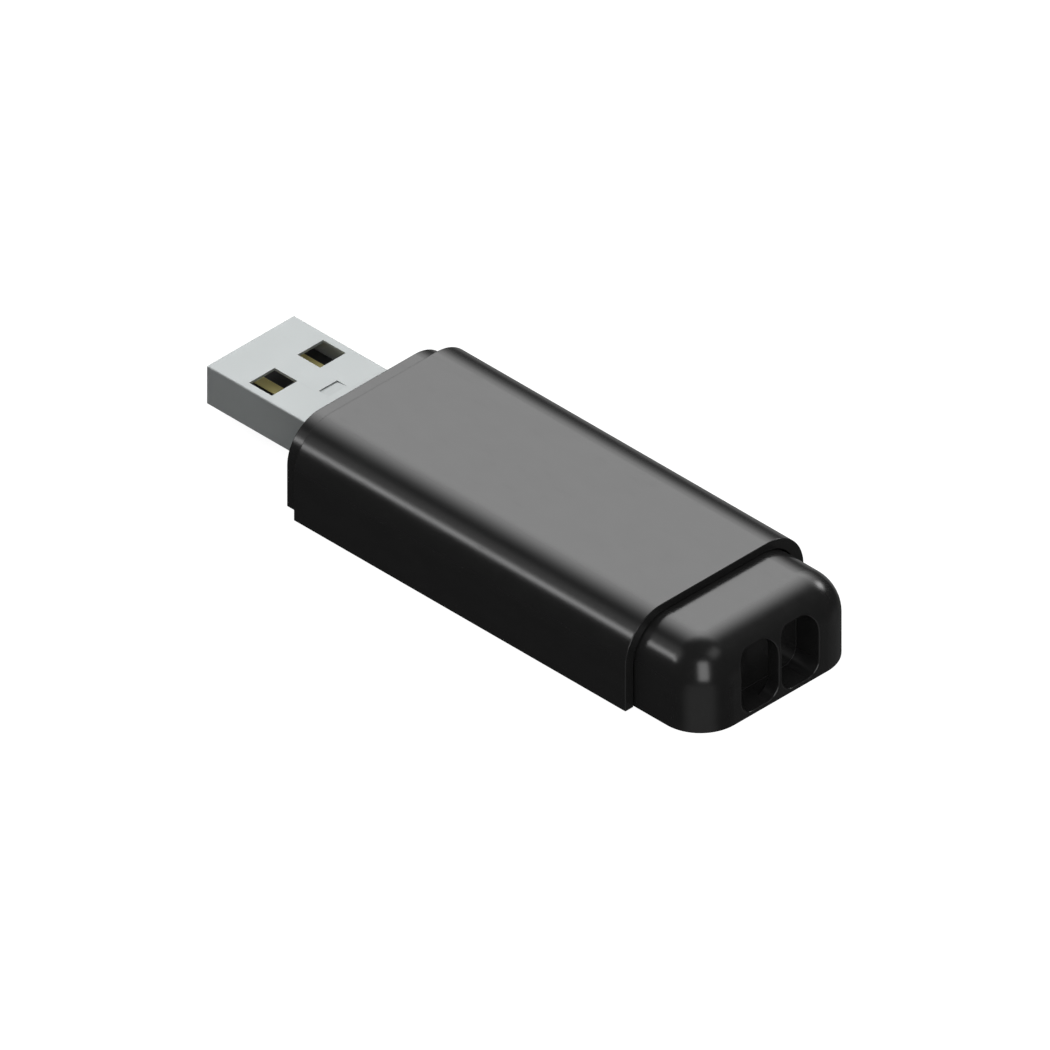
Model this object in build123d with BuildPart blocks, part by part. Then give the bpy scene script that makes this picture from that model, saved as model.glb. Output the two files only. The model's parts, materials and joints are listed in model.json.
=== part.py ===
from build123d import *

import os

# A USB stick that programs microcontrollers: a housing with a USB type A plug at one end and a lanyard
# eye at the other, a circuit board inside, and a sleeve that slides forward over the plug.
# X runs along the stick, from the plug's tip to the lanyard end, Y across it and Z up.
# The origin is on the underside, below the middle of the whole stick. All sizes are in millimetres.

# Housing
STICK_LENGTH = 72.7
HOUSING_LENGTH = 56.75
HOUSING_WIDTH = 22.05
HOUSING_HEIGHT = 9.3
HOUSING_ROUNDING = 4.5  # along the long top edges and over the lanyard end
HOUSING_END_CORNER = 4.6  # of the lanyard end, seen from above
SIDE_WALL = 1.4
FRONT_WALL = 1.5
ROOF = 1.2
EDGE_BREAK = 0.06
FIT_GAP = 0.08  # around pieces that are clipped together

# Base cover
BASE_THICKNESS = 1.2
BASE_RIM = 0.9  # wall that is left outside the cover
SNAP_LENGTH = 3.0
SNAP_XS = (-6.0, 6.0, 18.0)
SNAP_CATCH_Z = 3.55
SNAP_TOP_Z = 4.6
HOOK_THICKNESS = 0.7
HOOK_BARB = 0.4  # how far its barb stands out
HOOK_GAP = 0.15  # to the housing's wall
POCKET_DEPTH = 0.45

# Lanyard eye: one shallow cavity behind two openings, with a thin upright bar between them
CAVITY_DEPTH = 3.23
CAVITY_BACK_WALL = 1.2
OPENINGS_WIDTH = 10.6
OPENING_FLOOR_Z = 0.37
OPENING_TOP_Z = 7.3
OPENING_CORNER = 1.7
OPENING_RIM = 0.2
BAR_WIDTH = 0.44
BAR_DEPTH = 1.55

# Sleeve
SLEEVE_LENGTH = 45.5
SLEEVE_WIDTH = 24.5
SLEEVE_HEIGHT = 10.25
SLEEVE_ROUNDING = 5.0
SLEEVE_SETBACK = 2.17  # behind the housing's front face
SLEEVE_SIDE_GAP = 0.15
SLEEVE_TOP_GAP = 0.12
SLEEVE_INNER_ROUNDING = 4.6
SLEEVE_TRAVEL = 18.0
RIB_LENGTH = 26.0
RIB_SETBACK = 1.0  # from the sleeve's rear edge
GROOVE_DEPTH = 0.55
GROOVE_LOW_Z = 1.9
GROOVE_HIGH_Z = 3.1
RIB_GAP = 0.15
RIB_ROOT = 0.2  # how deep a rib is sunk in the sleeve's wall
STOP_GAP = 0.1

# USB type A plug
PLUG_WIDTH = 12.0
PLUG_HEIGHT = 4.5
PLUG_BOTTOM_Z = 1.59
SHELL_LENGTH = 20.0
SHEET = 0.3
SHELL_CORNER = 0.15
SEAM = 0.08
WINDOW_LENGTH = 3.1
WINDOW_WIDTH = 3.5
WINDOW_MID = 6.4  # from the tip
WINDOW_SPACING = 6.64
TAB_FRONT = 10.6  # from the tip
TAB_LENGTH = 1.35
TAB_WIDTH = 2.45
TAB_DROP = 0.14
TONGUE_FRONT = 0.7  # from the tip
TONGUE_TOP_Z = 3.84
TONGUE_BEVEL = 0.4
BLOCK_FRONT = 12.2  # from the tip
INSULATOR_GAP = 0.03
BOARD_TAB_REACH = 1.5  # out from the side of the plug
BOARD_TAB_LENGTH = 1.6
BOARD_TAB_SETBACK = 0.5  # from the shell's end
BOARD_TAB_ROOT = 0.2
CONTACT_WIDTH = 1.3
CONTACT_THICKNESS = 0.2
CONTACT_NOSE = 0.5  # length of the ramp at its front
CONTACT_NOSE_DROP = 0.14
CONTACT_TAIL = 2.4
# each contact's name, its place across the plug, and how far its front is from the tip
CONTACTS = [
    ("usb_contact_vbus", -3.65, 1.6),
    ("usb_contact_data_minus", -1.87, 2.4),
    ("usb_contact_data_plus", 1.87, 2.4),
    ("usb_contact_ground", 3.65, 1.6),
]

# Circuit board
BOARD_WIDTH = 16.6
BOARD_THICKNESS = 1.6
BOARD_TOP_Z = 3.74  # level with the underside of the plug's contacts
BOARD_FRONT_GAP = 0.15
BOARD_END_X = 30.4
BOARD_CORNER = 0.6
NOTCH_GAP = 0.2  # between the plug shell and the board's notch
POST_FRONT_X = -13.6
POST_REAR_X = 28.6
POST_Y = 7.0
POST_RADIUS = 1.2
PIN_RADIUS = 0.65
PIN_HOLE_RADIUS = 0.75
PIN_TOP_Z = 4.7

# Chip packages: place on the board, then length, width and height
MICROCONTROLLER_AT = (9.4, 0.0)
MICROCONTROLLER_SIZE = (7.0, 7.0, 1.4)
LEVEL_SHIFTER_AT = (19.6, 0.0)
LEVEL_SHIFTER_SIZE = (4.4, 5.0, 1.0)
ESD_PROTECTOR_AT = (-11.0, 0.0)
ESD_PROTECTOR_SIZE = (1.6, 2.9, 1.1)
REGULATOR_AT = (-3.6, -4.2)
REGULATOR_SIZE = (6.5, 3.5, 1.6)
CHIP_STANDOFF = 0.1
CHIP_BEVEL = 0.1
DIMPLE_INSET = 0.6
DIMPLE_RADIUS = 0.22
DIMPLE_DEPTH = 0.1

# Chip leads: reach, height of the shoulder and width, then pitch and number in a row
LEAD_THICKNESS = 0.15
LEAD_SHOULDER = 0.3  # part of the reach that is level
LEAD_FOOT = 0.45  # part of the reach where the foot begins
MICROCONTROLLER_LEAD = (1.0, 0.6, 0.22)
MICROCONTROLLER_ROW = (0.5, 12)
LEVEL_SHIFTER_LEAD = (1.0, 0.45, 0.25)
LEVEL_SHIFTER_ROW = (0.65, 7)
ESD_PROTECTOR_LEAD = (0.6, 0.45, 0.4)
ESD_PROTECTOR_ROW = (0.95, 3)
REGULATOR_LEAD = (1.6, 0.7, 0.7)
REGULATOR_TAB = (1.6, 0.7, 3.0)
REGULATOR_ROW = (2.3, 3)

# Crystal: length, width and height of each layer
CRYSTAL_AT = (-2.4, 4.6)
CRYSTAL_BASE_SIZE = (11.4, 4.7, 0.5)
CRYSTAL_FLANGE_SIZE = (10.6, 4.2, 0.3)
CRYSTAL_CAN_SIZE = (10.0, 3.6, 2.6)
CRYSTAL_ROUNDING = 0.4

# Two-ended chips, and the grids of the small ones: pitches, then counts
FUSE_AT = (-9.5, -5.6)
FUSE_SIZE = (3.2, 1.6, 0.8)
FERRITE_AT = (-10.0, 5.6)
FERRITE_SIZE = (2.0, 1.25, 0.9)
CAPACITOR_SIZE = (1.6, 0.8, 0.8)
CAPACITOR_GRID = (2.6, 13.0, 4, 2)
RESISTOR_SIZE = (1.6, 0.8, 0.45)
RESISTOR_GRID = (2.4, 11.6, 3, 2)
ONE_CHIP = (0, 0, 1, 1)
CHIP_END = 0.3  # length of a tinned end

# Target header
HEADER_AT = (26.6, 0.0)
HEADER_GRID = (1.27, 1.27, 2, 5)
HEADER_BODY_SIZE = (3.44, 6.35, 1.5)
HEADER_PIN = 0.4
HEADER_HOLE_RADIUS = 0.32
HEADER_PIN_BELOW = 0.4  # under the board
HEADER_PIN_TOP_Z = 7.45

# Places that follow from the sizes above
END_X = STICK_LENGTH / 2
TIP_X = -END_X
FRONT_X = END_X - HOUSING_LENGTH
INSIDE_FRONT_X = FRONT_X + FRONT_WALL
INSIDE_WIDTH = HOUSING_WIDTH - 2 * SIDE_WALL
INSIDE_TOP_Z = HOUSING_HEIGHT - ROOF
INSIDE_ROUNDING = HOUSING_ROUNDING - ROOF
CAVITY_BACK_X = END_X - CAVITY_DEPTH
INSIDE_END_X = CAVITY_BACK_X - CAVITY_BACK_WALL
BAR_BACK_X = END_X - BAR_DEPTH
BASE_FRONT_X = FRONT_X + BASE_RIM
BASE_END_X = INSIDE_END_X + CAVITY_BACK_WALL / 3
BASE_WIDTH = HOUSING_WIDTH - 2 * BASE_RIM
SLEEVE_FRONT_X = FRONT_X + SLEEVE_SETBACK
SLEEVE_END_X = SLEEVE_FRONT_X + SLEEVE_LENGTH
SLEEVE_INNER_WIDTH = HOUSING_WIDTH + 2 * SLEEVE_SIDE_GAP
SLEEVE_INNER_Z = HOUSING_HEIGHT + SLEEVE_TOP_GAP
RIB_END_X = SLEEVE_END_X - RIB_SETBACK
RIB_FRONT_X = RIB_END_X - RIB_LENGTH
PLUG_MID_Z = PLUG_BOTTOM_Z + PLUG_HEIGHT / 2
PLUG_TOP_Z = PLUG_BOTTOM_Z + PLUG_HEIGHT
SHELL_END_X = TIP_X + SHELL_LENGTH
TONGUE_BOTTOM_Z = PLUG_BOTTOM_Z + SHEET
BOARD_BOTTOM_Z = BOARD_TOP_Z - BOARD_THICKNESS
BOARD_FRONT_X = INSIDE_FRONT_X + BOARD_FRONT_GAP
POSTS = [(x, y) for x in (POST_FRONT_X, POST_REAR_X) for y in (-POST_Y, POST_Y)]
PIN_POSTS = [(POST_FRONT_X, POST_Y), (POST_REAR_X, -POST_Y)]


def block(low, high, mode=Mode.ADD):
    """A box between two opposite corners, added to or cut from the part being built."""
    middle = tuple((a + b) / 2 for a, b in zip(low, high))
    size = tuple(b - a for a, b in zip(low, high))
    with Locations(middle):
        Box(*size, mode=mode)


def arch(width, height, rounding, x):
    """A section across the stick at x, flat below and with rounded upper corners."""
    with BuildSketch(Plane.YZ.offset(x)) as section:
        with Locations((0, height / 2)):
            Rectangle(width, height)
        fillet(section.vertices().group_by(Axis.Y)[-1], rounding)
    return section.sketch


def eye_section(width, middle_y, x):
    """A section of the lanyard eye at x, as tall as its openings."""
    with BuildSketch(Plane.YZ.offset(x)) as section:
        with Locations((middle_y, (OPENING_FLOOR_Z + OPENING_TOP_Z) / 2)):
            RectangleRounded(width, OPENING_TOP_Z - OPENING_FLOOR_Z, OPENING_CORNER)
    return section.sketch


def rim_edge(edge):
    """Whether an edge is on the outer rim of one of the lanyard eye's openings."""
    middle = edge.bounding_box().center()
    beyond_bar = middle.X > (BAR_BACK_X + END_X) / 2
    in_openings = abs(middle.Y) < OPENINGS_WIDTH / 2 + OPENING_RIM and middle.Z > OPENING_FLOOR_Z / 2
    return beyond_bar and in_openings


def gull_wing(package_size, lead_size):
    """One bent lead, on a chip's +X side: out of the package, down to the board and out along it."""
    root_x = package_size[0] / 2
    reach, shoulder_z, width = lead_size
    shoulder_x = root_x + LEAD_SHOULDER * reach
    foot_x = root_x + LEAD_FOOT * reach
    with BuildPart() as lead:
        with BuildSketch(Plane.XZ) as lead_side:
            with BuildLine():
                Polyline(
                    (root_x, shoulder_z),
                    (shoulder_x, shoulder_z),
                    (foot_x, 0),
                    (root_x + reach, 0),
                    (root_x + reach, LEAD_THICKNESS),
                    (foot_x + LEAD_THICKNESS, LEAD_THICKNESS),
                    (shoulder_x + LEAD_THICKNESS, shoulder_z + LEAD_THICKNESS),
                    (root_x, shoulder_z + LEAD_THICKNESS),
                    close=True,
                )
            make_face()
        extrude(lead_side.sketch, amount=width / 2, both=True)
    return lead.part


def package(at, size):
    """A moulded chip package above the board, with a dimple that marks its first lead."""
    x, y = at
    length, width, height = size
    foot_z = BOARD_TOP_Z + CHIP_STANDOFF
    block((x - length / 2, y - width / 2, foot_z), (x + length / 2, y + width / 2, foot_z + height))
    chamfer(edges().group_by(Axis.Z)[-1], CHIP_BEVEL)
    with Locations((x - length / 2 + DIMPLE_INSET, y - width / 2 + DIMPLE_INSET, foot_z + height)):
        Cylinder(DIMPLE_RADIUS, DIMPLE_DEPTH, mode=Mode.SUBTRACT)


def lead_rows(lead, at, sides, row):
    """Rows of leads on two or all four sides of the chip at a place on the board."""
    pitch, count = row
    with Locations((*at, BOARD_TOP_Z)):
        with PolarLocations(0, sides):
            with GridLocations(0, pitch, 1, count):
                add(lead)


def chip_bodies(grid, at, size):
    """The middles of small two-ended chips, between their tinned ends."""
    length, width, height = size
    with Locations((*at, BOARD_TOP_Z + height / 2)):
        with GridLocations(*grid):
            Box(length - 2 * CHIP_END, width, height)


def chip_ends(grid, at, size):
    """The tinned ends of small two-ended chips."""
    length, width, height = size
    with Locations((*at, BOARD_TOP_Z + height / 2)):
        with GridLocations(*grid):
            with GridLocations(length - CHIP_END, 0, 2, 1):
                Box(CHIP_END, width, height)


os.makedirs("parts", exist_ok=True)

# ---- Housing shell: open below, with the lanyard eye in its rounded end
with BuildPart() as housing_shell:
    with BuildSketch(Plane.XY) as footprint:
        with Locations(((FRONT_X + END_X) / 2, 0)):
            Rectangle(HOUSING_LENGTH, HOUSING_WIDTH)
        fillet(footprint.vertices().group_by(Axis.X)[-1], HOUSING_END_CORNER)
    extrude(amount=HOUSING_HEIGHT)
    fillet(housing_shell.edges().group_by(Axis.Z)[-1].sort_by(Axis.X)[1:], HOUSING_ROUNDING)
    front_outline = housing_shell.edges().group_by(Axis.X)[0].sort_by(Axis.Z)[1:]
    chamfer(front_outline, EDGE_BREAK)

    # inside, and the seat that the base cover is clipped into
    inside = arch(INSIDE_WIDTH, INSIDE_TOP_Z, INSIDE_ROUNDING, INSIDE_FRONT_X)
    extrude(inside, amount=INSIDE_END_X - INSIDE_FRONT_X, mode=Mode.SUBTRACT)
    seat_half = BASE_WIDTH / 2 + FIT_GAP
    seat_low = (BASE_FRONT_X - FIT_GAP, -seat_half, 0)
    block(seat_low, (BASE_END_X + FIT_GAP, seat_half, BASE_THICKNESS), Mode.SUBTRACT)

    # way out for the plug
    plug_half = PLUG_WIDTH / 2 + FIT_GAP
    plug_low = (FRONT_X, -plug_half, PLUG_BOTTOM_Z - FIT_GAP)
    block(plug_low, (INSIDE_FRONT_X, plug_half, PLUG_TOP_Z + FIT_GAP), Mode.SUBTRACT)

    # lanyard eye
    cavity = eye_section(OPENINGS_WIDTH, 0, CAVITY_BACK_X)
    extrude(cavity, amount=BAR_BACK_X - CAVITY_BACK_X, mode=Mode.SUBTRACT)
    opening_width = (OPENINGS_WIDTH - BAR_WIDTH) / 2
    for side in (-1, 1):
        opening = eye_section(opening_width, side * (BAR_WIDTH + opening_width) / 2, BAR_BACK_X)
        extrude(opening, amount=BAR_DEPTH, mode=Mode.SUBTRACT)
    mouth = housing_shell.edges().filter_by(Axis.X, reverse=True).filter_by(rim_edge)
    fillet(mouth, OPENING_RIM)

    # guide grooves for the sleeve's ribs, and pockets for the cover's snap hooks
    for side in (-1, 1):
        groove_y = side * (HOUSING_WIDTH / 2 - GROOVE_DEPTH / 2)
        groove_low_x = RIB_FRONT_X - SLEEVE_TRAVEL - STOP_GAP
        groove_high_x = RIB_END_X + STOP_GAP
        low = (groove_low_x, groove_y - GROOVE_DEPTH / 2, GROOVE_LOW_Z)
        block(low, (groove_high_x, groove_y + GROOVE_DEPTH / 2, GROOVE_HIGH_Z), Mode.SUBTRACT)
        pocket_y = side * INSIDE_WIDTH / 2
        pocket_half = SNAP_LENGTH / 2 + HOOK_GAP
        for x in SNAP_XS:
            low = (x - pocket_half, pocket_y - POCKET_DEPTH, SNAP_CATCH_Z - HOOK_GAP)
            block(low, (x + pocket_half, pocket_y + POCKET_DEPTH, SNAP_TOP_Z), Mode.SUBTRACT)

    # posts that hold the board down
    with BuildSketch(Plane.XY.offset(BOARD_TOP_Z)) as posts:
        with Locations(POSTS):
            Circle(POST_RADIUS)
        with Locations(PIN_POSTS):
            Circle(PIN_HOLE_RADIUS, mode=Mode.SUBTRACT)
    extrude(amount=INSIDE_TOP_Z + ROOF / 3 - BOARD_TOP_Z)

housing_shell.part.label = "housing_shell"
export_step(housing_shell.part, "parts/housing_shell.step")

# ---- Base cover: a plate with snap hooks, pads that carry the board, and two pins that place it
with BuildPart() as base_cover:
    block((BASE_FRONT_X, -BASE_WIDTH / 2, 0), (BASE_END_X, BASE_WIDTH / 2, BASE_THICKNESS))
    hook_outer = INSIDE_WIDTH / 2 - HOOK_GAP
    hook_inner = hook_outer - HOOK_THICKNESS
    hook_top_z = SNAP_TOP_Z - HOOK_GAP
    for x in SNAP_XS:
        with BuildSketch(Plane.YZ.offset(x)) as hook:
            with BuildLine():
                Polyline(
                    (hook_inner, BASE_THICKNESS / 2),
                    (hook_outer, BASE_THICKNESS / 2),
                    (hook_outer, SNAP_CATCH_Z),
                    (hook_outer + HOOK_BARB, SNAP_CATCH_Z),
                    (hook_outer, hook_top_z),
                    (hook_inner, hook_top_z),
                    close=True,
                )
            make_face()
            mirror(about=Plane.YZ)
        extrude(amount=SNAP_LENGTH / 2, both=True)
    with BuildSketch(Plane.XY.offset(BASE_THICKNESS)):
        with Locations(POSTS):
            Circle(POST_RADIUS)
    extrude(amount=BOARD_BOTTOM_Z - BASE_THICKNESS)
    with BuildSketch(Plane.XY.offset(BOARD_BOTTOM_Z)):
        with Locations(PIN_POSTS):
            Circle(PIN_RADIUS)
    extrude(amount=PIN_TOP_Z - BOARD_BOTTOM_Z)
    chamfer(base_cover.edges().group_by(Axis.Z)[0], EDGE_BREAK)

base_cover.part.label = "base_cover"
export_step(base_cover.part, "parts/base_cover.step")

# ---- Sleeve: open below, with a rib on each side that runs in the housing's groove
with BuildPart() as slide_sleeve:
    extrude(arch(SLEEVE_WIDTH, SLEEVE_HEIGHT, SLEEVE_ROUNDING, SLEEVE_FRONT_X), amount=SLEEVE_LENGTH)
    for end in (0, -1):
        chamfer(slide_sleeve.edges().group_by(Axis.X)[end].sort_by(Axis.Z)[1:], EDGE_BREAK)
    channel = arch(SLEEVE_INNER_WIDTH, SLEEVE_INNER_Z, SLEEVE_INNER_ROUNDING, SLEEVE_FRONT_X)
    extrude(channel, amount=SLEEVE_LENGTH, mode=Mode.SUBTRACT)
    rib_tip = HOUSING_WIDTH / 2 - GROOVE_DEPTH + RIB_GAP
    rib_root = SLEEVE_INNER_WIDTH / 2 + RIB_ROOT
    for side in (-1, 1):
        rib_y = side * (rib_tip + rib_root) / 2
        rib_half = (rib_root - rib_tip) / 2
        low = (RIB_FRONT_X, rib_y - rib_half, GROOVE_LOW_Z + RIB_GAP)
        block(low, (RIB_END_X, rib_y + rib_half, GROOVE_HIGH_Z - RIB_GAP))

slide_sleeve.part.label = "slide_sleeve"
export_step(slide_sleeve.part, "parts/slide_sleeve.step")

# ---- Plug shell: a folded sheet with windows for the socket's springs, a retaining tab and two board tabs
with BuildPart() as usb_shell:
    with BuildSketch(Plane.YZ.offset(TIP_X)):
        with Locations((0, PLUG_MID_Z)):
            RectangleRounded(PLUG_WIDTH, PLUG_HEIGHT, SHELL_CORNER)
            Rectangle(PLUG_WIDTH - 2 * SHEET, PLUG_HEIGHT - 2 * SHEET, mode=Mode.SUBTRACT)
    extrude(amount=SHELL_LENGTH)
    with BuildSketch(Plane.XY.offset(PLUG_BOTTOM_Z)):
        with Locations((TIP_X + WINDOW_MID, 0)):
            with GridLocations(0, WINDOW_SPACING, 1, 2):
                Rectangle(WINDOW_LENGTH, WINDOW_WIDTH)
    extrude(amount=PLUG_HEIGHT, mode=Mode.SUBTRACT)
    # the joint where the folded sheet's two edges meet, along the middle of the underside
    block((TIP_X, -SEAM / 2, PLUG_BOTTOM_Z), (SHELL_END_X, SEAM / 2, PLUG_BOTTOM_Z + SHEET), Mode.SUBTRACT)
    # the retaining tab: cut free at its front, and bent down into the plug
    tab_front_x = TIP_X + TAB_FRONT
    tab_end_x = tab_front_x + TAB_LENGTH
    block(
        (tab_front_x, -TAB_WIDTH / 2, PLUG_TOP_Z - SHEET),
        (tab_end_x, TAB_WIDTH / 2, PLUG_TOP_Z),
        Mode.SUBTRACT,
    )
    with BuildSketch(Plane.XZ) as tab_side:
        with BuildLine():
            Polyline(
                (tab_end_x, PLUG_TOP_Z),
                (tab_end_x, PLUG_TOP_Z - SHEET),
                (tab_front_x, PLUG_TOP_Z - SHEET - TAB_DROP),
                (tab_front_x, PLUG_TOP_Z - TAB_DROP),
                close=True,
            )
        make_face()
    extrude(tab_side.sketch, amount=TAB_WIDTH / 2, both=True)
    board_tab_end_x = SHELL_END_X - BOARD_TAB_SETBACK
    board_tab_half = (BOARD_TAB_REACH + BOARD_TAB_ROOT) / 2
    for side in (-1, 1):
        tab_y = side * (PLUG_WIDTH / 2 + BOARD_TAB_REACH - board_tab_half)
        low = (board_tab_end_x - BOARD_TAB_LENGTH, tab_y - board_tab_half, BOARD_TOP_Z)
        block(low, (board_tab_end_x, tab_y + board_tab_half, BOARD_TOP_Z + SHEET))

usb_shell.part.label = "usb_shell"
export_step(usb_shell.part, "parts/usb_shell.step")

# ---- Plug contacts: power and ground reach further forward than the two data lines
for name, y, setback in CONTACTS:
    contact_front_x = TIP_X + setback
    contact_end_x = SHELL_END_X + CONTACT_TAIL
    contact_top_z = BOARD_TOP_Z + CONTACT_THICKNESS
    with BuildPart() as usb_contact:
        with BuildSketch(Plane.XZ.offset(-y)):
            with BuildLine():
                Polyline(
                    (contact_front_x, BOARD_TOP_Z),
                    (contact_end_x, BOARD_TOP_Z),
                    (contact_end_x, contact_top_z),
                    (contact_front_x + CONTACT_NOSE, contact_top_z),
                    (contact_front_x, contact_top_z - CONTACT_NOSE_DROP),
                    close=True,
                )
            make_face()
        extrude(amount=CONTACT_WIDTH / 2, both=True)
    usb_contact.part.label = name
    export_step(usb_contact.part, f"parts/{name}.step")

# ---- Plug insulator: a tongue under the contacts, and a block that fills the back of the shell
with BuildPart() as usb_insulator:
    insulator_half = PLUG_WIDTH / 2 - SHEET - INSULATOR_GAP
    tongue_front_x = TIP_X + TONGUE_FRONT
    block_front_x = TIP_X + BLOCK_FRONT
    tongue_low = (tongue_front_x, -insulator_half, TONGUE_BOTTOM_Z)
    block(tongue_low, (SHELL_END_X, insulator_half, TONGUE_TOP_Z))
    tongue_front = usb_insulator.edges().filter_by(Axis.Y).group_by(Axis.X)[0]
    chamfer(tongue_front.sort_by(Axis.Z)[-1], TONGUE_BEVEL)
    block_low = (block_front_x, -insulator_half, TONGUE_TOP_Z)
    block(block_low, (SHELL_END_X, insulator_half, PLUG_TOP_Z - SHEET - INSULATOR_GAP))
    for _, y, setback in CONTACTS:
        slot_low = (TIP_X + setback, y - CONTACT_WIDTH / 2, BOARD_TOP_Z)
        slot_high = (SHELL_END_X, y + CONTACT_WIDTH / 2, BOARD_TOP_Z + CONTACT_THICKNESS)
        block(slot_low, slot_high, Mode.SUBTRACT)

usb_insulator.part.label = "usb_insulator"
export_step(usb_insulator.part, "parts/usb_insulator.step")

# ---- Circuit board: notched round the plug shell
with BuildPart() as circuit_board:
    with BuildSketch(Plane.XY.offset(BOARD_BOTTOM_Z)) as board_outline:
        with Locations(((BOARD_FRONT_X + BOARD_END_X) / 2, 0)):
            RectangleRounded(BOARD_END_X - BOARD_FRONT_X, BOARD_WIDTH, BOARD_CORNER)
        notch_length = 2 * (SHELL_END_X + NOTCH_GAP - BOARD_FRONT_X)
        with Locations((BOARD_FRONT_X, 0)):
            Rectangle(notch_length, PLUG_WIDTH + 2 * NOTCH_GAP, mode=Mode.SUBTRACT)
        with Locations(PIN_POSTS):
            Circle(PIN_HOLE_RADIUS, mode=Mode.SUBTRACT)
        with Locations(HEADER_AT):
            with GridLocations(*HEADER_GRID):
                Circle(HEADER_HOLE_RADIUS, mode=Mode.SUBTRACT)
    extrude(amount=BOARD_THICKNESS)

circuit_board.part.label = "circuit_board"
export_step(circuit_board.part, "parts/circuit_board.step")

# ---- Microcontroller, in a square package with leads on all four sides
with BuildPart() as microcontroller_package:
    package(MICROCONTROLLER_AT, MICROCONTROLLER_SIZE)

microcontroller_package.part.label = "microcontroller_package"
export_step(microcontroller_package.part, "parts/microcontroller_package.step")

microcontroller_lead = gull_wing(MICROCONTROLLER_SIZE, MICROCONTROLLER_LEAD)
with BuildPart() as microcontroller_leads:
    lead_rows(microcontroller_lead, MICROCONTROLLER_AT, 4, MICROCONTROLLER_ROW)

microcontroller_leads.part.label = "microcontroller_leads"
export_step(microcontroller_leads.part, "parts/microcontroller_leads.step")

# ---- Level shifter, between the microcontroller and the programmed board
with BuildPart() as level_shifter_package:
    package(LEVEL_SHIFTER_AT, LEVEL_SHIFTER_SIZE)

level_shifter_package.part.label = "level_shifter_package"
export_step(level_shifter_package.part, "parts/level_shifter_package.step")

level_shifter_lead = gull_wing(LEVEL_SHIFTER_SIZE, LEVEL_SHIFTER_LEAD)
with BuildPart() as level_shifter_leads:
    lead_rows(level_shifter_lead, LEVEL_SHIFTER_AT, 2, LEVEL_SHIFTER_ROW)

level_shifter_leads.part.label = "level_shifter_leads"
export_step(level_shifter_leads.part, "parts/level_shifter_leads.step")

# ---- Protector for the plug's data lines
with BuildPart() as esd_protector_package:
    package(ESD_PROTECTOR_AT, ESD_PROTECTOR_SIZE)

esd_protector_package.part.label = "esd_protector_package"
export_step(esd_protector_package.part, "parts/esd_protector_package.step")

esd_protector_lead = gull_wing(ESD_PROTECTOR_SIZE, ESD_PROTECTOR_LEAD)
with BuildPart() as esd_protector_leads:
    lead_rows(esd_protector_lead, ESD_PROTECTOR_AT, 2, ESD_PROTECTOR_ROW)

esd_protector_leads.part.label = "esd_protector_leads"
export_step(esd_protector_leads.part, "parts/esd_protector_leads.step")

# ---- Voltage regulator: three leads on one side and a wide heat tab on the other
with BuildPart() as regulator_package:
    package(REGULATOR_AT, REGULATOR_SIZE)

regulator_package.part.label = "regulator_package"
export_step(regulator_package.part, "parts/regulator_package.step")

regulator_side_on = REGULATOR_SIZE[1::-1]
regulator_lead = gull_wing(regulator_side_on, REGULATOR_LEAD)
regulator_tab = gull_wing(regulator_side_on, REGULATOR_TAB)
regulator_pitch, regulator_count = REGULATOR_ROW
with BuildPart() as regulator_leads:
    with Locations(Location((*REGULATOR_AT, BOARD_TOP_Z), (0, 0, -90))):
        with GridLocations(0, regulator_pitch, 1, regulator_count):
            add(regulator_lead)
    with Locations(Location((*REGULATOR_AT, BOARD_TOP_Z), (0, 0, 90))):
        add(regulator_tab)

regulator_leads.part.label = "regulator_leads"
export_step(regulator_leads.part, "parts/regulator_leads.step")

# ---- Clock crystal: a sealed can on an insulating base
base_length, base_width, base_height = CRYSTAL_BASE_SIZE
flange_length, flange_width, flange_height = CRYSTAL_FLANGE_SIZE
can_length, can_width, can_height = CRYSTAL_CAN_SIZE
flange_z = BOARD_TOP_Z + base_height
with BuildPart() as crystal_base:
    with BuildSketch(Plane.XY.offset(BOARD_TOP_Z)):
        with Locations(CRYSTAL_AT):
            Rectangle(base_length, base_width)
    extrude(amount=base_height)

crystal_base.part.label = "crystal_base"
export_step(crystal_base.part, "parts/crystal_base.step")

with BuildPart() as crystal_can:
    with BuildSketch(Plane.XY.offset(flange_z)):
        with Locations(CRYSTAL_AT):
            SlotOverall(flange_length, flange_width)
    extrude(amount=flange_height)
    with BuildSketch(Plane.XY.offset(flange_z + flange_height)):
        with Locations(CRYSTAL_AT):
            SlotOverall(can_length, can_width)
    extrude(amount=can_height)
    fillet(crystal_can.edges().group_by(Axis.Z)[-1], CRYSTAL_ROUNDING)

crystal_can.part.label = "crystal_can"
export_step(crystal_can.part, "parts/crystal_can.step")

# ---- Resettable fuse and ferrite bead on the supply line, and the small chips
with BuildPart() as resettable_fuse:
    chip_bodies(ONE_CHIP, FUSE_AT, FUSE_SIZE)

resettable_fuse.part.label = "resettable_fuse"
export_step(resettable_fuse.part, "parts/resettable_fuse.step")

with BuildPart() as ferrite_bead:
    chip_bodies(ONE_CHIP, FERRITE_AT, FERRITE_SIZE)

ferrite_bead.part.label = "ferrite_bead"
export_step(ferrite_bead.part, "parts/ferrite_bead.step")

with BuildPart() as ceramic_capacitors:
    chip_bodies(CAPACITOR_GRID, MICROCONTROLLER_AT, CAPACITOR_SIZE)

ceramic_capacitors.part.label = "ceramic_capacitors"
export_step(ceramic_capacitors.part, "parts/ceramic_capacitors.step")

with BuildPart() as chip_resistors:
    chip_bodies(RESISTOR_GRID, LEVEL_SHIFTER_AT, RESISTOR_SIZE)

chip_resistors.part.label = "chip_resistors"
export_step(chip_resistors.part, "parts/chip_resistors.step")

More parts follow.
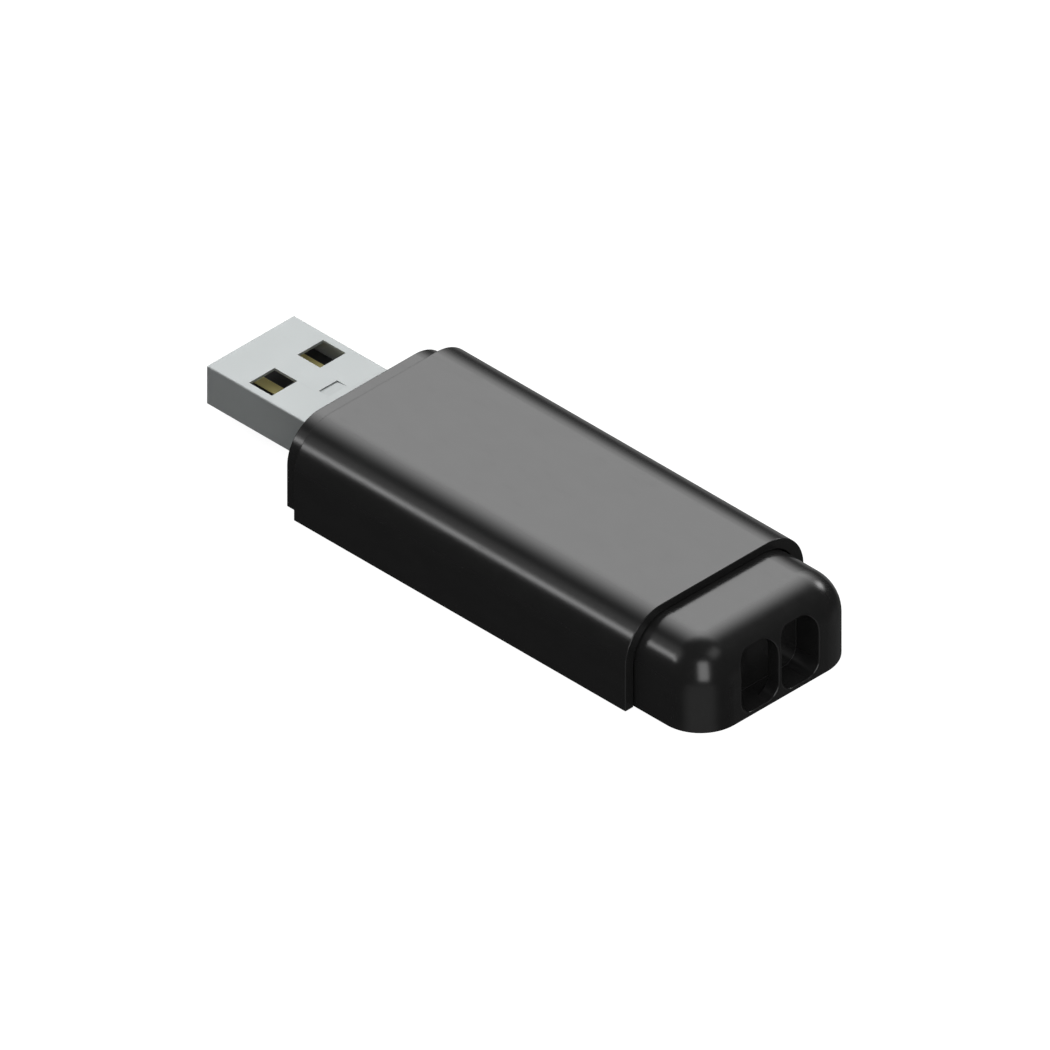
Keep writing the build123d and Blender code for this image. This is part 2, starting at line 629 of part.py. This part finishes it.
with BuildPart() as chip_terminals:
    chip_ends(ONE_CHIP, FUSE_AT, FUSE_SIZE)
    chip_ends(ONE_CHIP, FERRITE_AT, FERRITE_SIZE)
    chip_ends(CAPACITOR_GRID, MICROCONTROLLER_AT, CAPACITOR_SIZE)
    chip_ends(RESISTOR_GRID, LEVEL_SHIFTER_AT, RESISTOR_SIZE)

chip_terminals.part.label = "chip_terminals"
export_step(chip_terminals.part, "parts/chip_terminals.step")

# ---- Header that the programmed board is wired to
header_length, header_width, header_height = HEADER_BODY_SIZE
with BuildPart() as target_header_body:
    with BuildSketch(Plane.XY.offset(BOARD_TOP_Z)):
        with Locations(HEADER_AT):
            Rectangle(header_length, header_width)
            with GridLocations(*HEADER_GRID):
                Rectangle(HEADER_PIN, HEADER_PIN, mode=Mode.SUBTRACT)
    extrude(amount=header_height)

target_header_body.part.label = "target_header_body"
export_step(target_header_body.part, "parts/target_header_body.step")

header_pin_bottom_z = BOARD_BOTTOM_Z - HEADER_PIN_BELOW
with BuildPart() as target_header_pins:
    with BuildSketch(Plane.XY.offset(header_pin_bottom_z)):
        with Locations(HEADER_AT):
            with GridLocations(*HEADER_GRID):
                Rectangle(HEADER_PIN, HEADER_PIN)
    extrude(amount=HEADER_PIN_TOP_Z - header_pin_bottom_z)

target_header_pins.part.label = "target_header_pins"
export_step(target_header_pins.part, "parts/target_header_pins.step")
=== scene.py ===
import json
import math

import bpy
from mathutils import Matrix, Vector


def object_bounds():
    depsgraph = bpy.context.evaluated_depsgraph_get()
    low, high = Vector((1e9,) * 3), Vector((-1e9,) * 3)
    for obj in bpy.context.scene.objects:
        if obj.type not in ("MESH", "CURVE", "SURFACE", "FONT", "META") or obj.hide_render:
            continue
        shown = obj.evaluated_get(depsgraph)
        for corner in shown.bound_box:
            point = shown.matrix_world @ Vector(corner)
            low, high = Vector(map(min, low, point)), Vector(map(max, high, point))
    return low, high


# The looks of a USB stick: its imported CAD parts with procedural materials, in a plain studio.
# Lengths are in metres. +X runs towards the lanyard end, +Z up.

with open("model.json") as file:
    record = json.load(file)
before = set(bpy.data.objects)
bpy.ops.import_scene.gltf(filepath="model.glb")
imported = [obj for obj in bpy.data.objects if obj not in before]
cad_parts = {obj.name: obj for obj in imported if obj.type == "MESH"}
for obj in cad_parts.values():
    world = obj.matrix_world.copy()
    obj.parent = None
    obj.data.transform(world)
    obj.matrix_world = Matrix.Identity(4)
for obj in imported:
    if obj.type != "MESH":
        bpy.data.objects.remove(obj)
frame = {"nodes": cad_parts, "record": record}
cad_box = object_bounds()

MM = 0.001

# ---------------------------------------------------------------- camera
IMAGE_SIDE = 1050
PIXELS_PER_MM = 10.312
AZIMUTH = math.radians(45)
ELEVATION = math.radians(35.264)
AIM = Vector((1.259, 0, 3.026)) * MM
CAMERA_DISTANCE = 0.6

scene = bpy.context.scene
back = Vector((
    math.sin(AZIMUTH) * math.cos(ELEVATION),
    -math.cos(AZIMUTH) * math.cos(ELEVATION),
    math.sin(ELEVATION),
))
camera_data = bpy.data.cameras.new("camera")
camera_data.type = "ORTHO"
camera_data.ortho_scale = IMAGE_SIDE / PIXELS_PER_MM * MM
camera_data.clip_start = 0.01
camera = bpy.data.objects.new("camera", camera_data)
scene.collection.objects.link(camera)
camera.location = AIM + back * CAMERA_DISTANCE
camera.rotation_euler = back.to_track_quat("Z", "Y").to_euler()
scene.camera = camera
scene.view_settings.view_transform = "Standard"


# ---------------------------------------------------------------- node helpers
class Nodes:
    """Adds shader nodes to a tree and joins them up."""

    def __init__(self, tree):
        self.tree = tree
        tree.nodes.clear()

    def add(self, kind, inputs=(), output=0, **settings):
        """A node with some inputs linked or set. Gives the chosen output socket."""
        node = self.tree.nodes.new(kind)
        for key, value in settings.items():
            setattr(node, key, value)
        for key, value in dict(inputs).items():
            self.put(node.inputs[key], value)
        return node.outputs[output] if node.outputs else None

    def put(self, socket, value):
        if isinstance(value, bpy.types.NodeSocket):
            self.tree.links.new(value, socket)
        else:
            socket.default_value = value

    def math(self, operation, *values):
        return self.add("ShaderNodeMath", dict(enumerate(values)), operation=operation)

    def dot(self, a, b):
        """The dot product of two vectors, as a number."""
        return self.add("ShaderNodeVectorMath", {0: a, 1: b}, "Value", operation="DOT_PRODUCT")

    def step(self, value, low, high):
        """Rises smoothly from 0 to 1 as value goes from low to high, which may be below low."""
        inputs = {"Value": value, "From Min": low, "From Max": high}
        return self.add("ShaderNodeMapRange", inputs, interpolation_type="SMOOTHSTEP")

    def spread(self, value, low, high):
        """Takes 0 to 1 onto low to high."""
        return self.add("ShaderNodeMapRange", {"Value": value, "To Min": low, "To Max": high})

    def noise(self, place, scale, detail, stretch=None):
        """Noise from 0 to 1. It is drawn out along an axis where stretch is under 1."""
        if stretch is not None:
            place = self.add("ShaderNodeVectorMath", {0: place, 1: stretch}, operation="MULTIPLY")
        return self.add("ShaderNodeTexNoise", {"Vector": place, "Scale": scale, "Detail": detail})

    def mix(self, factor, a, b):
        """A colour between a and b."""
        inputs = {0: factor, 6: a, 7: b}
        return self.add("ShaderNodeMix", inputs, 2, data_type="RGBA")


# ---------------------------------------------------------------- studio light
def towards(azimuth, elevation):
    """The direction at an azimuth from +X and an elevation, in degrees."""
    a, e = math.radians(azimuth), math.radians(elevation)
    return Vector((math.cos(a) * math.cos(e), math.sin(a) * math.cos(e), math.sin(e)))


def softbox(nodes, ray, azimuth, elevation, half, soft, strength):
    """A soft-edged rectangle of light, as seen from the object. Its sizes are in degrees."""
    middle = towards(azimuth, elevation)
    across = Vector((0, 0, 1)).cross(middle).normalized()
    upward = middle.cross(across)
    ahead = nodes.dot(ray, middle)
    side = nodes.math("ARCTAN2", nodes.dot(ray, across), ahead)
    rise = nodes.math("ARCTAN2", nodes.dot(ray, upward), ahead)
    light = strength
    for angle, half_angle in zip((side, rise), half):
        size = nodes.math("ABSOLUTE", angle)
        edge = (math.radians(half_angle + soft), math.radians(max(half_angle - soft, 0)))
        light = nodes.math("MULTIPLY", nodes.step(size, *edge), light)
    return light


# azimuth, elevation, half sizes, softness, strength
SOFTBOXES = [
    (230, 25.5, (9, 3.5), 3.5, 6.5),  # the stripe along the sleeve's near rounding
    (229, 36, (14, 10), 8, 0.7),  # its halo
    (86, 27.6, (7, 7), 4, 6.0),  # the glint on the far corner
    (-37, 21, (13, 24), 5, 3.4),  # the window on the near corner
    (20, 55, (14, 10), 8, 1.0),
    (-45, -35, (30, 20), 12, 0.27),  # weak light from below
    (77, -35, (25, 20), 12, 0.07),
    (130, -16, (20, 12), 8, 0.26),
    (50, -20, (24, 10), 8, 0.05),
]
MAIN_AZIMUTH = 135
MAIN_SPREAD = 75  # degrees to either side
MAIN_STRENGTH = 3.78
MAIN_RISE = (-0.35, 0.577)  # heights of the ray where the main light starts and is full
MAIN_CURVE = 5.2
MAIN_FALL = (1.0, math.sin(math.radians(58)))  # heights where it is gone and full
BASE_GLOW = 0.02
DIFFUSE_TOP = 0.75
DIFFUSE_SIDE = 0.35

world = bpy.data.worlds.new("studio")
world.use_nodes = True
scene.world = world
nodes = Nodes(world.node_tree)
ray = nodes.add("ShaderNodeTexCoord", output="Generated")
main_line = towards(MAIN_AZIMUTH, 0)
across_line = towards(MAIN_AZIMUTH + 90, 0)
swing = nodes.math("ARCTAN2", nodes.dot(ray, across_line), nodes.dot(ray, main_line))
swing = nodes.step(nodes.math("ABSOLUTE", swing), math.radians(MAIN_SPREAD), 0)
height = nodes.dot(ray, Vector((0, 0, 1)))
start, full = MAIN_RISE
climb = nodes.add("ShaderNodeMapRange", {"Value": height, "From Min": start, "From Max": full})
rise = nodes.math("POWER", climb, MAIN_CURVE)
fall = nodes.math("MULTIPLY", nodes.step(height, *MAIN_FALL), MAIN_STRENGTH)
glossy = nodes.math("MULTIPLY", nodes.math("MULTIPLY", swing, rise), fall)
for azimuth, elevation, half, soft, strength in SOFTBOXES:
    glossy = nodes.math("ADD", glossy, softbox(nodes, ray, azimuth, elevation, half, soft, strength))
glossy = nodes.math("ADD", glossy, BASE_GLOW)
diffuse = nodes.spread(height, DIFFUSE_SIDE, DIFFUSE_TOP)
is_glossy = nodes.add("ShaderNodeLightPath", output="Is Glossy Ray")
is_camera = nodes.add("ShaderNodeLightPath", output="Is Camera Ray")
light = nodes.add("ShaderNodeMix", {0: is_glossy, 2: diffuse, 3: glossy})
light = nodes.add("ShaderNodeMix", {0: is_camera, 2: light, 3: 1.0})
background = nodes.add("ShaderNodeBackground", {"Color": (1, 1, 1, 1), "Strength": light})
nodes.add("ShaderNodeOutputWorld", {"Surface": background})


# ---------------------------------------------------------------- materials
def material(name):
    """A new material, with its helper and the place on the object in metres."""
    made = bpy.data.materials.new(name)
    made.use_nodes = True
    nodes = Nodes(made.node_tree)
    place = nodes.add("ShaderNodeTexCoord", output="Object")
    return made, nodes, place


def finish_surface(nodes, inputs):
    """Ends a material with one shader, given its sockets' values."""
    shader = nodes.add("ShaderNodeBsdfPrincipled", inputs)
    nodes.add("ShaderNodeOutputMaterial", {"Surface": shader})


BEVEL_SAMPLES = 6
EDGE_GAIN = 6.0  # makes the small turn of the normal at an edge into a mask


def rounded(nodes, radius):
    """Normals rounded over the edges, and how much they turn there, from 0 to 1."""
    normal = nodes.add("ShaderNodeBevel", {"Radius": radius}, samples=BEVEL_SAMPLES)
    flat = nodes.add("ShaderNodeNewGeometry", output="Normal")
    edge = nodes.math("SUBTRACT", 1.0, nodes.dot(normal, flat))
    return normal, nodes.math("MINIMUM", nodes.math("MULTIPLY", edge, EDGE_GAIN), 1.0)


def bump(nodes, height, distance, normal):
    """A normal tipped by the slope of height, which stands for distance in metres."""
    return nodes.add("ShaderNodeBump", {"Height": height, "Distance": distance, "Normal": normal})


def shade(color, factor):
    """A colour made darker or paler."""
    return tuple(min(part * factor, 1) for part in color) + (1,)


# Noise scales are in waves per metre. Ranges that go with a colour or a roughness are times it.
MOULDED_GRAIN_NOISE = {"scale": 6000, "detail": 3}
MOULDED_FLOW_NOISE = {"scale": 260, "detail": 4, "stretch": (1, 2.2, 2.2)}
MOULDED_SCUFF_NOISE = {"scale": 1500, "detail": 5, "stretch": (0.25, 1.6, 1.6)}
MOULDED_TINTS = (0.85, 1.15)
MOULDED_ROUGHNESS = (0.86, 1.14)
MOULDED_EDGE_RADIUS = 0.12 * MM
MOULDED_GRAIN = 0.0004 * MM  # its height
MOULDED_WEAR = 0.5
MOULDED_WORN_TINT = (2.4, 0.012)  # times, then plus
MOULDED_SCUFF_RANGE = (0.58, 0.8)
MOULDED_SCUFF_ROUGHNESS = 0.06
PLATED_GRAIN_NOISE = {"scale": 9000, "detail": 3, "stretch": (0.04, 1, 1)}
PLATED_CLOUD_NOISE = {"scale": 420, "detail": 4}
PLATED_SCRATCH_NOISE = {"scale": 2600, "detail": 2, "stretch": (0.05, 1.4, 1.4)}
PLATED_TINTS = (0.94, 1.04)
PLATED_SCRATCH_TINT = 0.75
PLATED_ROUGHNESS = (0.9, 1.1)
PLATED_EDGE_RADIUS = 0.05 * MM
PLATED_GRAIN = 0.0015 * MM
PLATED_SCRATCH_RANGE = (0.66, 0.74)
PLATED_SCRATCH_DEPTH = 0.12
PLATED_EDGE_POLISH = 0.08


def moulded(name, color, roughness):
    """Moulded plastic: fine grain, faint flow marks, scuffs, and paler edges."""
    made, nodes, place = material(name)
    normal, edge = rounded(nodes, MOULDED_EDGE_RADIUS)
    fine = nodes.noise(place, **MOULDED_GRAIN_NOISE)
    broad = nodes.noise(place, **MOULDED_FLOW_NOISE)
    scuffs = nodes.step(nodes.noise(place, **MOULDED_SCUFF_NOISE), *MOULDED_SCUFF_RANGE)
    rough = nodes.spread(broad, *(roughness * times for times in MOULDED_ROUGHNESS))
    rough = nodes.math("ADD", rough, nodes.math("MULTIPLY", scuffs, MOULDED_SCUFF_ROUGHNESS))
    tint = nodes.mix(broad, *(shade(color, times) for times in MOULDED_TINTS))
    times, plus = MOULDED_WORN_TINT
    worn = tuple(min(part * times + plus, 1) for part in color) + (1,)
    tint = nodes.mix(nodes.math("MULTIPLY", edge, MOULDED_WEAR), tint, worn)
    normal = bump(nodes, fine, MOULDED_GRAIN, normal)
    finish_surface(nodes, {"Base Color": tint, "Roughness": rough, "Normal": normal})
    return made


def plated(name, color, roughness, metallic):
    """Plated or rolled metal: a fine grain along X, faint scratches and rubbed edges."""
    made, nodes, place = material(name)
    normal, edge = rounded(nodes, PLATED_EDGE_RADIUS)
    lines = nodes.noise(place, **PLATED_GRAIN_NOISE)
    cloud = nodes.noise(place, **PLATED_CLOUD_NOISE)
    scratches = nodes.step(nodes.noise(place, **PLATED_SCRATCH_NOISE), *PLATED_SCRATCH_RANGE)
    rough = nodes.spread(cloud, *(roughness * times for times in PLATED_ROUGHNESS))
    rough = nodes.math("SUBTRACT", rough, nodes.math("MULTIPLY", edge, PLATED_EDGE_POLISH))
    tint = nodes.mix(cloud, *(shade(color, times) for times in PLATED_TINTS))
    scratched = nodes.math("MULTIPLY", scratches, PLATED_SCRATCH_DEPTH)
    tint = nodes.mix(scratched, tint, shade(color, PLATED_SCRATCH_TINT))
    normal = bump(nodes, lines, PLATED_GRAIN, normal)
    inputs = {"Base Color": tint, "Roughness": rough, "Metallic": metallic, "Normal": normal}
    finish_surface(nodes, inputs)
    return made


# colour and roughness
MOULDED = {
    "black_housing": ((0.020, 0.020, 0.020), 0.20),
    "black_sleeve": ((0.020, 0.020, 0.020), 0.20),
    "insulator_black": ((0.020, 0.020, 0.021), 0.45),
    "board_green": ((0.02, 0.16, 0.06), 0.35),
    "chip_black": ((0.022, 0.022, 0.024), 0.6),
    "capacitor_tan": ((0.42, 0.30, 0.18), 0.55),
    "resistor_black": ((0.03, 0.03, 0.035), 0.3),
    "fuse_green": ((0.03, 0.20, 0.12), 0.5),
    "ferrite_grey": ((0.09, 0.09, 0.095), 0.6),
}
# colour, roughness and how metallic
PLATED = {
    "plug_steel": ((0.50, 0.525, 0.525), 0.55, 0.55),
    "contact_gold": ((0.95, 0.84, 0.36), 0.45, 0.2),
    "lead_tin": ((0.66, 0.66, 0.64), 0.45, 1.0),
    "can_steel": ((0.62, 0.62, 0.60), 0.35, 1.0),
}
materials = {name: moulded(name, *values) for name, values in MOULDED.items()}
materials |= {name: plated(name, *values) for name, values in PLATED.items()}
for entry in frame["record"]["subparts"]:
    node = frame["nodes"][entry["node"]]
    for slot in node.material_slots:
        slot.material = materials[entry["material_slot"]]

# ---------------------------------------------------------------- floor
FLOOR_HALF = 1.5
FLOOR_GAP = 0.02 * MM
FLOOR_DARK = (0.34, 0.34, 0.34, 1)
FLOOR_PALE = (0.38, 0.38, 0.38, 1)
FLOOR_GLOW = 0.92
FLOOR_NOISE = {"scale": 30, "detail": 3}

mesh = bpy.data.meshes.new("floor")
floor_z = cad_box[0][2] - FLOOR_GAP
quarters = [(-1, -1), (1, -1), (1, 1), (-1, 1)]
corners = [(x * FLOOR_HALF, y * FLOOR_HALF, floor_z) for x, y in quarters]
mesh.from_pydata(corners, [], [(0, 1, 2, 3)])
floor = bpy.data.objects.new("floor", mesh)
scene.collection.objects.link(floor)
pale, nodes, place = material("floor")
cloud = nodes.noise(place, **FLOOR_NOISE)
shader = nodes.add("ShaderNodeBsdfDiffuse", {"Color": nodes.mix(cloud, FLOOR_DARK, FLOOR_PALE)})
glow = nodes.add("ShaderNodeEmission", {"Color": (1, 1, 1, 1), "Strength": FLOOR_GLOW})
both = nodes.add("ShaderNodeAddShader", {0: shader, 1: glow})
nodes.add("ShaderNodeOutputMaterial", {"Surface": both})
mesh.materials.append(pale)
floor.visible_glossy = False
floor.visible_diffuse = False
